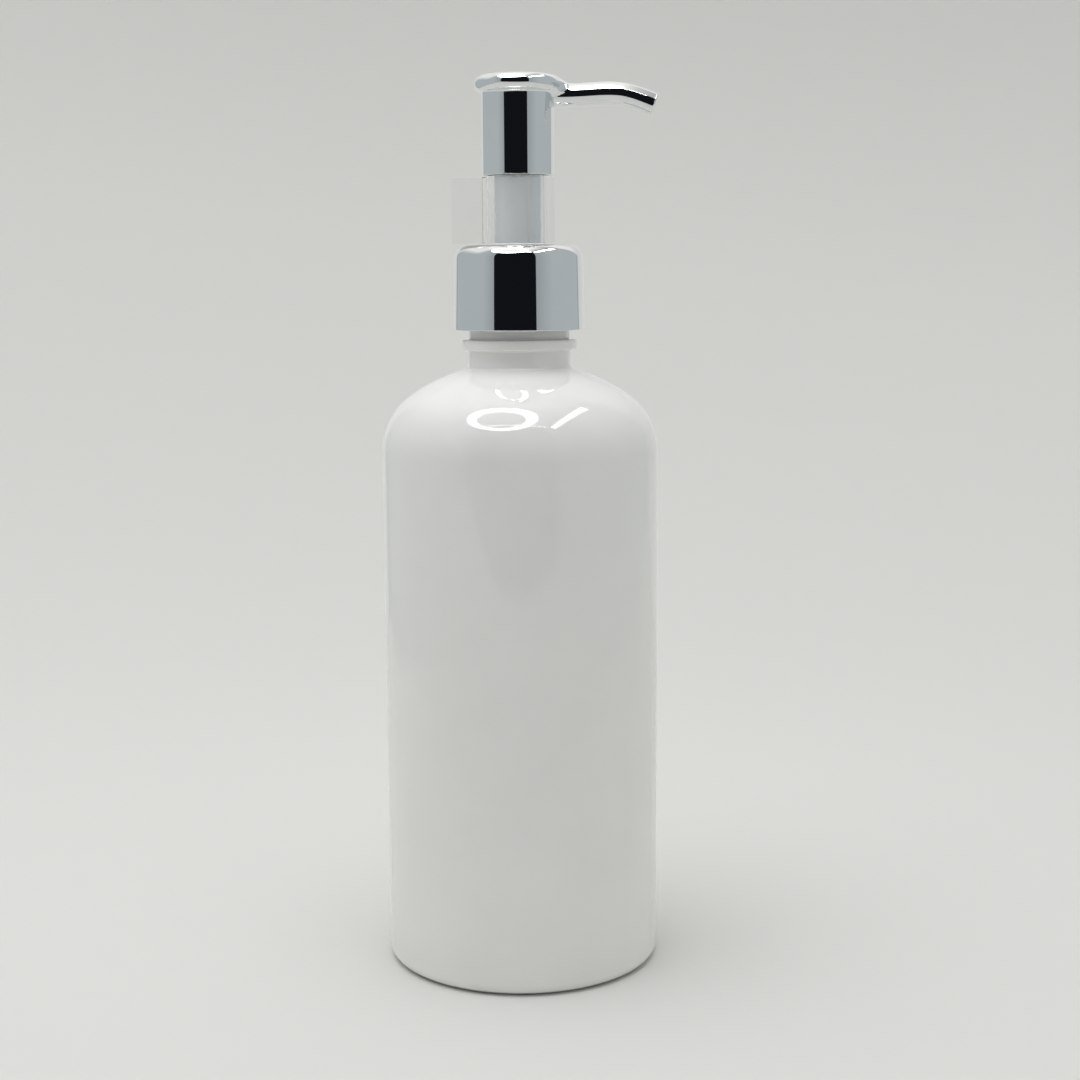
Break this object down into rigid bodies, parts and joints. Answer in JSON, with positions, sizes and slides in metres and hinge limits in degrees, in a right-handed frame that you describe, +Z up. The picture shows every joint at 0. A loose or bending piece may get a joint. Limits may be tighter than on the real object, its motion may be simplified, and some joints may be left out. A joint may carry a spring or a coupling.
{
  "type": "shampoo bottle",
  "caption": "Round-shouldered plastic bottle with a screw-on lotion pump, a metal head with a bent spout and a clear clip that locks it.",
  "frame": {"origin": "centre of the bottle's base, on the surface that it stands on", "axes": "+Z up along the bottle's axis, +X the way the spout points"},
  "size_m": [0.06, 0.06, 0.193],
  "materials": {
    "bottle_plastic": "gloss",
    "chrome": "polished",
    "white_plastic": "satin",
    "natural_plastic": "satin",
    "clear_plastic": "gloss",
    "spring_steel": "satin",
    "foam_liner": "matte"
  },
  "bodies": {
    "bottle": {"bottle": "bottle_plastic"},
    "pump_body": {"pump_housing": "natural_plastic", "housing_collar": "white_plastic", "neck_gasket": "foam_liner", "ball_retainer": "natural_plastic", "dip_tube": "natural_plastic"},
    "closure": {"closure_shell": "chrome", "closure_cap": "white_plastic"},
    "spring": {"return_spring": "spring_steel"},
    "plunger": {"stem": "white_plastic", "piston_rod": "white_plastic", "actuator_head": "chrome", "actuator_insert": "white_plastic"},
    "piston": {"piston": "natural_plastic"},
    "ball": {"inlet_ball": "spring_steel"},
    "clip": {"lock_clip": "clear_plastic"}
  },
  "joints": [
    {"name": "pump_lift", "type": "slide", "parent": "bottle", "child": "pump_body", "axis": [0, 0, 1], "range_m": [0, 0.0048]},
    {"name": "closure_turn", "type": "hinge", "parent": "pump_body", "child": "closure", "pos_m": [0, 0, 0.148], "axis": [0, 0, 1], "range_deg": [0, 540]},
    {"name": "head_turn", "type": "hinge", "parent": "pump_body", "child": "spring", "pos_m": [0, 0, 0.18], "axis": [0, 0, 1], "continuous": true},
    {"name": "pump_press", "type": "slide", "parent": "spring", "child": "plunger", "axis": [0, 0, 1], "range_m": [-0.014, 0], "stiffness_N_per_m": 450, "springref_m": 0.012, "deforming": ["return_spring"]},
    {"name": "piston_slip", "type": "slide", "parent": "plunger", "child": "piston", "axis": [0, 0, 1], "range_m": [0, 0.0009]},
    {"name": "ball_lift", "type": "slide", "parent": "pump_body", "child": "ball", "axis": [0, 0, 1], "range_m": [0, 0.0015]},
    {"name": "clip_pull", "type": "slide", "parent": "pump_body", "child": "clip", "axis": [-1, 0, 0], "range_m": [0, 0.045], "deforming": ["lock_clip"]}
  ],
  "couplings": [
    {"joint": "pump_lift", "follows": "closure_turn", "m_per_rad": 0.00050532}
  ]
}
